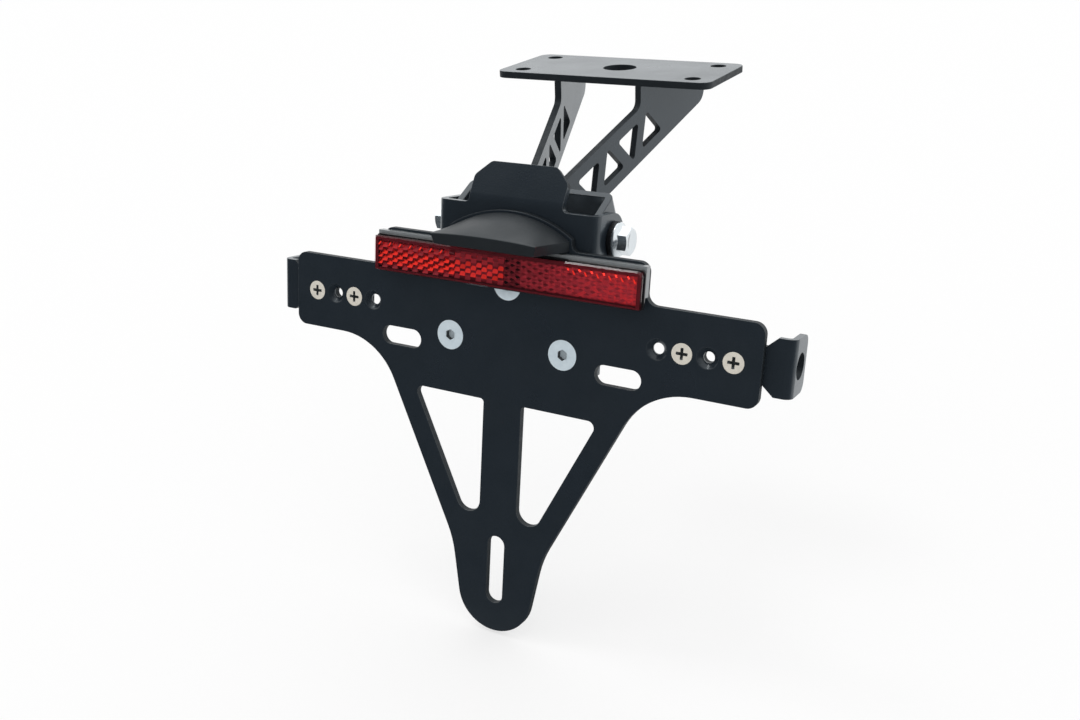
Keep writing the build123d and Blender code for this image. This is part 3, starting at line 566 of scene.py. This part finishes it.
def soften(node, width):
    """A copy of the node with its sharp edges rounded, which stands for it."""
    form = bmesh.new()
    form.from_mesh(nodes[node].data)
    bmesh.ops.remove_doubles(form, verts=form.verts, dist=same_place)
    bmesh.ops.dissolve_limit(form, angle_limit=flat_angle, verts=form.verts, edges=form.edges)
    form.edges.index_update()
    cut_look = cut_looks.get(slot_of_node[node])
    for face in form.faces:
        face.material_index = 2 if cut_look and is_cut_side(face) else 0
    edges = [e for e in form.edges if e.is_manifold and e.calc_face_angle() > soft_angle]
    bmesh.ops.bevel(form, geom=edges, offset=width / 1000, offset_type="OFFSET", segments=soft_steps,
                    profile=0.5, affect="EDGES", clamp_overlap=True, material=1)
    looks = finish[slot_of_node[node]][:2]
    piece = add_piece(node + "_look", form, looks + (cut_look,) if cut_look else looks, node)
    shade_smooth(piece)
    weight = piece.modifiers.new("flat faces stay flat", "WEIGHTED_NORMAL")
    weight.weight = flat_weight
    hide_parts(node)


for name in sorted(set(nodes) - turned_nodes - {"reflector_lens"}):
    soften(name, finish[slot_of_node[name]][2])

# Reflector: the clear red lens, with round corners and a flat chamfer round its front
lens_half = 60.0
lens_low, lens_high = 23.9, 38.7
lens_corner, corner_steps = 2.0, 8
lens_chamfer = 0.7
skin_back, skin_front = 4.6, 7.2
lens_sharp = radians(30)


def lens_loop(inset, n):
    """The lens's outline with round corners, this far inside it, at a distance from the panel."""
    points = []
    radius = lens_corner - inset
    for quarter, (way_u, way_v) in enumerate(((1, 1), (-1, 1), (-1, -1), (1, -1))):
        corner_u = way_u * (lens_half - lens_corner)
        corner_v = (lens_low + lens_high) / 2 + way_v * ((lens_high - lens_low) / 2 - lens_corner)
        for step in range(corner_steps + 1):
            angle = (quarter + step / corner_steps) * pi / 2
            points.append(on_panel(corner_u + radius * cos(angle), corner_v + radius * sin(angle), n))
    return points


def build_lens():
    """The lens as three loops, from its back to the inside of its chamfer."""
    form = bmesh.new()
    rows = [[form.verts.new(p) for p in lens_loop(inset, n)]
            for inset, n in ((0, skin_back), (0, skin_front - lens_chamfer), (lens_chamfer, skin_front))]
    for below, above in zip(rows, rows[1:]):
        for k in range(len(below)):
            form.faces.new((below[k - 1], below[k], above[k], above[k - 1]))
    form.faces.new(rows[0])
    form.faces.new(rows[-1])
    bmesh.ops.recalc_face_normals(form, faces=form.faces)
    piece = add_piece("reflector_lens_look", form, [red_skin], "reflector_lens")
    shade_smooth(piece)
    piece.data.set_sharp_from_angle(angle=lens_sharp)
    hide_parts("reflector_lens")


build_lens()

# Prisms inside the lens: rows of facets in two fields with a dark strip between them, inside a flat rim
field_half = 58.1
field_low, field_high = 25.55, 36.75
strip_from, strip_to = 1.2, 8.5
prism_rows = 8
prism_width, prism_start = 2.5, 1.35
prism_height = (field_high - field_low) / prism_rows
prism_plane, prism_relief = 6.5, 1.3
haze_from, haze_plane, haze_relief = -22.0, 6.0, 0.35
loaf_shoulder, loaf_inset, loaf_overlap = 0.55, 0.22, 0.25
rim_inset, rim_back = 0.4, 4.7
line_low, line_high, line_lift = 0.45, 0.1, 0.02

# Long slanted facets along the top of both fields: count, first place, low and high ends, lean, top's depth
long_pitch, long_width, long_front = 5, 0.75, 7.05
long_facets = ((7, -57.5, 34.8, 36.6, 0.5, 5.7), (6, 30.0, 35.5, 36.7, -1.2, 6.02),
               (6, 32.7, 34.1, 35.5, -1.4, 6.02))

# How bright each kind of facet looks, from 0 to 1, at its field's left end, and the change to its right end.
# This is painted light: painted highlights mostly on the facets that lean up and on the slivers at their
# corners and walls, painted shade on those that lean down
bright_rows = {"up": (1.0, 0), "down": (0.28, 0), "corner": (0.7, -0.3), "wall": (0.5, -0.2)}
haze_rows = {**bright_rows, "up": (0.88, 0)}
lowest_row = {"up": (0.5, 0), "down": (0.26, 0), "corner": (0.6, 0), "wall": (0.5, 0)}
upper_rows = {"up": (0.62, -0.15), "down": (0.3, 0), "corner": (1.0, -0.4), "wall": (1.0, -0.4)}
highest_row = {"up": (0.36, 0), "down": (0.3, 0), "corner": (0.4, 0), "wall": (0.6, -0.2)}
strip_points = {"side": (0.31, 0), "dark": (0.03, 0)}
right_points = {"side": (0.43, 0.16), "dark": (0.25, 0.26)}
# How bright the long facets (a full painted highlight), the rim, its sides and the dark line look
long_shine, rim_shine, rim_side_shine, line_shine = 1.0, 0.24, 0.1, 0.05
shine_spread = 0.08
chance = random.Random(4)

# Corners of facets that are this close, in metres, become one
same_corner = 1e-6


def painted_prism_shine(u, row, kind):
    """Painted light of a facet, from painted shade to painted highlight, by its place and its kind."""
    if u < strip_from:
        share = (u + field_half) / (strip_from + field_half)
        middle_rows = bright_rows if u < haze_from else haze_rows
        shines = ([lowest_row] + [middle_rows] * 4 + [upper_rows] * 2 + [highest_row])[row]
    else:
        share = (u - strip_to) / (field_half - strip_to)
        shines = strip_points if u < strip_to else right_points
    start, change = shines[kind]
    return max(0.0, min(1.0, start + change * share + chance.uniform(-shine_spread, shine_spread)))


def add_loaf(facet, left, right, row, column, first):
    """A facet that leans up and has cut corners, or one that leans down, and the walls at its left."""
    u = (left + right) / 2
    up = (row + column) % 2 == 1
    low = field_low + (row if up or row == 0 else row + loaf_overlap) * prism_height
    high = field_low + (row + 1 + loaf_overlap if up and row < prism_rows - 1 else row + 1) * prism_height
    middle, shoulder = (low + high) / 2, low + (high - low) * loaf_shoulder
    inset = (right - left) * loaf_inset
    plane, relief = (prism_plane, prism_relief) if u < haze_from else (haze_plane, haze_relief)
    deep, half_deep, shoulder_n = plane - relief, plane - relief / 2, plane - relief * loaf_shoulder
    if up:
        facet([(left, low, plane), (right, low, plane), (right, shoulder, shoulder_n),
               (right - inset, high, deep), (left + inset, high, deep), (left, shoulder, shoulder_n)],
              painted_prism_shine(u, row, "up"))
        facet([(right, shoulder, shoulder_n), (right, high, deep), (right - inset, high, deep)],
              painted_prism_shine(u, row, "corner"))
        facet([(left, shoulder, shoulder_n), (left + inset, high, deep), (left, high, deep)],
              painted_prism_shine(u, row, "corner"))
    else:
        facet([(left, low, deep), (right, low, deep), (right, high, plane), (left, high, plane)],
              painted_prism_shine(u, row, "down"))
    if column > first:
        facet([(left, low, deep), (left, low, plane), (left, middle, half_deep)],
              painted_prism_shine(u, row, "wall"))
        facet([(left, high, plane), (left, high, deep), (left, middle, half_deep)],
              painted_prism_shine(u, row, "wall"))


def add_point(facet, left, right, row, column):
    """A four-sided point. Painted shade on one side of each of two neighbours makes a dark diamond across the
    edge between them.
    """
    low = field_low + row * prism_height
    high = low + prism_height
    tip = ((left + right) / 2, low + prism_height / 2, haze_plane)
    foot_n = haze_plane - haze_relief
    foot = [(left, low, foot_n), (right, low, foot_n), (right, high, foot_n), (left, high, foot_n)]
    dark = 2 if (row + column) % 2 == 0 else 0
    for k in range(4):
        facet([foot[k], foot[(k + 1) % 4], tip], painted_prism_shine(tip[0], row, "dark" if k == dark else "side"))


def add_fields(facet):
    """The rows of both fields and of the strip."""
    first = floor((-field_half - prism_start) / prism_width)
    last = floor((field_half - prism_start) / prism_width)
    for row in range(prism_rows):
        for column in range(first, last + 1):
            left = max(-field_half, prism_start + column * prism_width)
            right = min(field_half, prism_start + (column + 1) * prism_width)
            if (left + right) / 2 > strip_from:
                add_point(facet, left, right, row, column)
            else:
                add_loaf(facet, left, right, row, column, first)


def add_long_facets(facet):
    """The long slanted facets."""
    for count, start, low, high, lean, back in long_facets:
        for k in range(count):
            left = start + long_pitch * k - long_width / 2
            right = start + long_pitch * k + long_width / 2
            facet([(left, low, long_front), (right, low, long_front), (right + lean, high, back),
                   (left + lean, high, back)], long_shine)


def corners(half, low, high):
    """Corners of a rectangle on the panel."""
    return [(-half, low), (half, low), (half, high), (-half, high)]


def add_rim(facet):
    """The flat rim, its sides down to the lens's back, and the dark line along the foot of the fields."""
    outer = corners(lens_half - rim_inset, lens_low + rim_inset, lens_high - rim_inset)
    inner = corners(field_half, field_low, field_high)
    for k in range(4):
        m = (k + 1) % 4
        facet([(*p, prism_plane) for p in (inner[k], outer[k], outer[m], inner[m])], rim_shine)
        facet([(*outer[k], prism_plane), (*outer[k], rim_back), (*outer[m], rim_back),
               (*outer[m], prism_plane)], rim_side_shine)
        facet([(*inner[k], prism_plane), (*inner[m], prism_plane), (*inner[m], rim_back),
               (*inner[k], rim_back)], rim_side_shine)
    line = corners(field_half, field_low - line_low, field_low - line_high)
    facet([(*p, prism_plane + line_lift) for p in line], line_shine)


def build_prisms():
    """All facets as one piece, each with the number for its painted light that its red comes from."""
    form = bmesh.new()
    painted_shine = form.faces.layers.float.new("painted_shine")

    def facet(points, value):
        form.faces.new([form.verts.new(on_panel(*p)) for p in points])[painted_shine] = value

    add_fields(facet)
    add_long_facets(facet)
    add_rim(facet)
    bmesh.ops.remove_doubles(form, verts=form.verts, dist=same_corner)
    bmesh.ops.recalc_face_normals(form, faces=form.faces)
    add_piece("reflector_prisms", form, [prisms], "reflector_lens")


build_prisms()

# Camera, at the photograph's place in metres, turn and field of view
yaw, pitch, roll = radians(29.0), radians(24.57), radians(-2.23)
camera_place = (0.20870, -0.46143, 0.08708)
camera_near = 0.01
sensor_width = 36.0
photo_width, focal_pixels = 1080, 1096.2
ahead = Vector((-sin(yaw) * cos(pitch), cos(yaw) * cos(pitch), -sin(pitch)))
level_right = Vector((cos(yaw), sin(yaw), 0))
level_up = level_right.cross(ahead)
camera_right = level_right * cos(roll) + level_up * sin(roll)
camera_up = level_up * cos(roll) - level_right * sin(roll)
camera = bpy.data.objects.new("camera", bpy.data.cameras.new("camera"))
camera.data.sensor_fit = "HORIZONTAL"
camera.data.sensor_width = sensor_width
camera.data.lens = sensor_width * focal_pixels / photo_width
camera.data.clip_start = camera_near
camera.matrix_world = Matrix((camera_right, camera_up, -ahead)).transposed().to_4x4()
camera.location = camera_place
bpy.context.scene.collection.objects.link(camera)
bpy.context.scene.camera = camera

# Floor and surround, in metres: white to look at. In reflections they dim to the front, as a studio does
dark_side = (0.05, 0.06, 0.07, 1)
floor_dim_from, floor_dim_to, floor_dim_least = 0.05, -0.20, 0.1
sky_dim_from, sky_dim_to = -0.18, -0.55
sky_diffuse = 0.88
shadow_softness = 0.6
floor_radius, floor_points, floor_gap = 12.0, 96, 0.001


def front_dimming(tree, path, place, start, end, least=0.0):
    """Share of the dark side in reflections, from least to 1 as the place's Y goes from start to end."""
    split = tree.nodes.new("ShaderNodeSeparateXYZ")
    tree.links.new(place, split.inputs["Vector"])
    forward = tree.nodes.new("ShaderNodeMapRange")
    forward.interpolation_type = "SMOOTHSTEP"
    forward.inputs["From Min"].default_value = start
    forward.inputs["From Max"].default_value = end
    forward.inputs["To Min"].default_value = least
    tree.links.new(split.outputs["Y"], forward.inputs["Value"])
    dimming = tree.nodes.new("ShaderNodeMath")
    dimming.operation = "MULTIPLY"
    tree.links.new(path.outputs["Is Glossy Ray"], dimming.inputs[0])
    tree.links.new(forward.outputs["Result"], dimming.inputs[1])
    return dimming.outputs["Value"]


def make_floor_look():
    """White with a soft shadow to look at, and dim to the front in reflections."""
    made = new_material("floor", (0.97, 0.97, 0.97), 0.9, specular=0.0)
    tree = made.node_tree
    path = tree.nodes.new("ShaderNodeLightPath")
    white = tree.nodes.new("ShaderNodeEmission")
    white.inputs["Color"].default_value = (1, 1, 1, 1)
    share = tree.nodes.new("ShaderNodeMath")
    share.operation = "MULTIPLY"
    share.inputs[1].default_value = shadow_softness
    tree.links.new(path.outputs["Is Camera Ray"], share.inputs[0])
    lit = tree.nodes.new("ShaderNodeMixShader")
    tree.links.new(share.outputs["Value"], lit.inputs["Fac"])
    tree.links.new(tree.nodes["Principled BSDF"].outputs["BSDF"], lit.inputs[1])
    tree.links.new(white.outputs["Emission"], lit.inputs[2])
    place = tree.nodes.new("ShaderNodeTexCoord").outputs["Object"]
    dim = tree.nodes.new("ShaderNodeEmission")
    dim.inputs["Color"].default_value = dark_side
    seen = tree.nodes.new("ShaderNodeMixShader")
    dimming = front_dimming(tree, path, place, floor_dim_from, floor_dim_to, floor_dim_least)
    tree.links.new(dimming, seen.inputs["Fac"])
    tree.links.new(lit.outputs["Shader"], seen.inputs[1])
    tree.links.new(dim.outputs["Emission"], seen.inputs[2])
    tree.links.new(seen.outputs["Shader"], tree.nodes["Material Output"].inputs["Surface"])
    return made


floor_form = bmesh.new()
bmesh.ops.create_circle(floor_form, cap_ends=True, segments=floor_points, radius=floor_radius)
floor_mesh = bpy.data.meshes.new("floor")
floor_form.to_mesh(floor_mesh)
floor_form.free()
floor_mesh.materials.append(make_floor_look())
ground = bpy.data.objects.new("floor", floor_mesh)
ground.location = (0, 0, cad_low.z - floor_gap)
bpy.context.scene.collection.objects.link(ground)


def make_surround():
    """White to look at and to see through; in reflections white at the back and dim at the front."""
    made = bpy.data.worlds.new("studio")
    made.use_nodes = True
    tree = made.node_tree
    sky = tree.nodes["Background"]
    path = tree.nodes.new("ShaderNodeLightPath")
    level = tree.nodes.new("ShaderNodeMapRange")
    level.inputs["To Min"].default_value = 1.0
    level.inputs["To Max"].default_value = sky_diffuse
    tree.links.new(path.outputs["Is Diffuse Ray"], level.inputs["Value"])
    tree.links.new(level.outputs["Result"], sky.inputs["Strength"])
    direction = tree.nodes.new("ShaderNodeTexCoord").outputs["Generated"]
    studio = tree.nodes.new("ShaderNodeMix")
    studio.data_type = "RGBA"
    studio.inputs["A"].default_value = (1, 1, 1, 1)
    studio.inputs["B"].default_value = dark_side
    dimming = front_dimming(tree, path, direction, sky_dim_from, sky_dim_to)
    tree.links.new(dimming, studio.inputs["Factor"])
    tree.links.new(studio.outputs["Result"], sky.inputs["Color"])
    return made


bpy.context.scene.world = make_surround()


def add_sun(name, energy, width, towards):
    """A distant lamp of this width in degrees, whose light goes this way."""
    sun = bpy.data.objects.new(name, bpy.data.lights.new(name, "SUN"))
    sun.data.energy = energy
    sun.data.angle = radians(width)
    sun.rotation_mode = "QUATERNION"
    sun.rotation_quaternion = Vector(towards).to_track_quat("-Z", "Y")
    bpy.context.scene.collection.objects.link(sun)


# A wide lamp from the back, and a narrow one from above that draws the bright line on the lens's edge
add_sun("key", 0.22, 45, (0.42, -0.60, -0.68))
add_sun("sparkle", 0.3, 14, (0.41, 0.01, -0.91))

bpy.context.scene.view_settings.view_transform = "Standard"
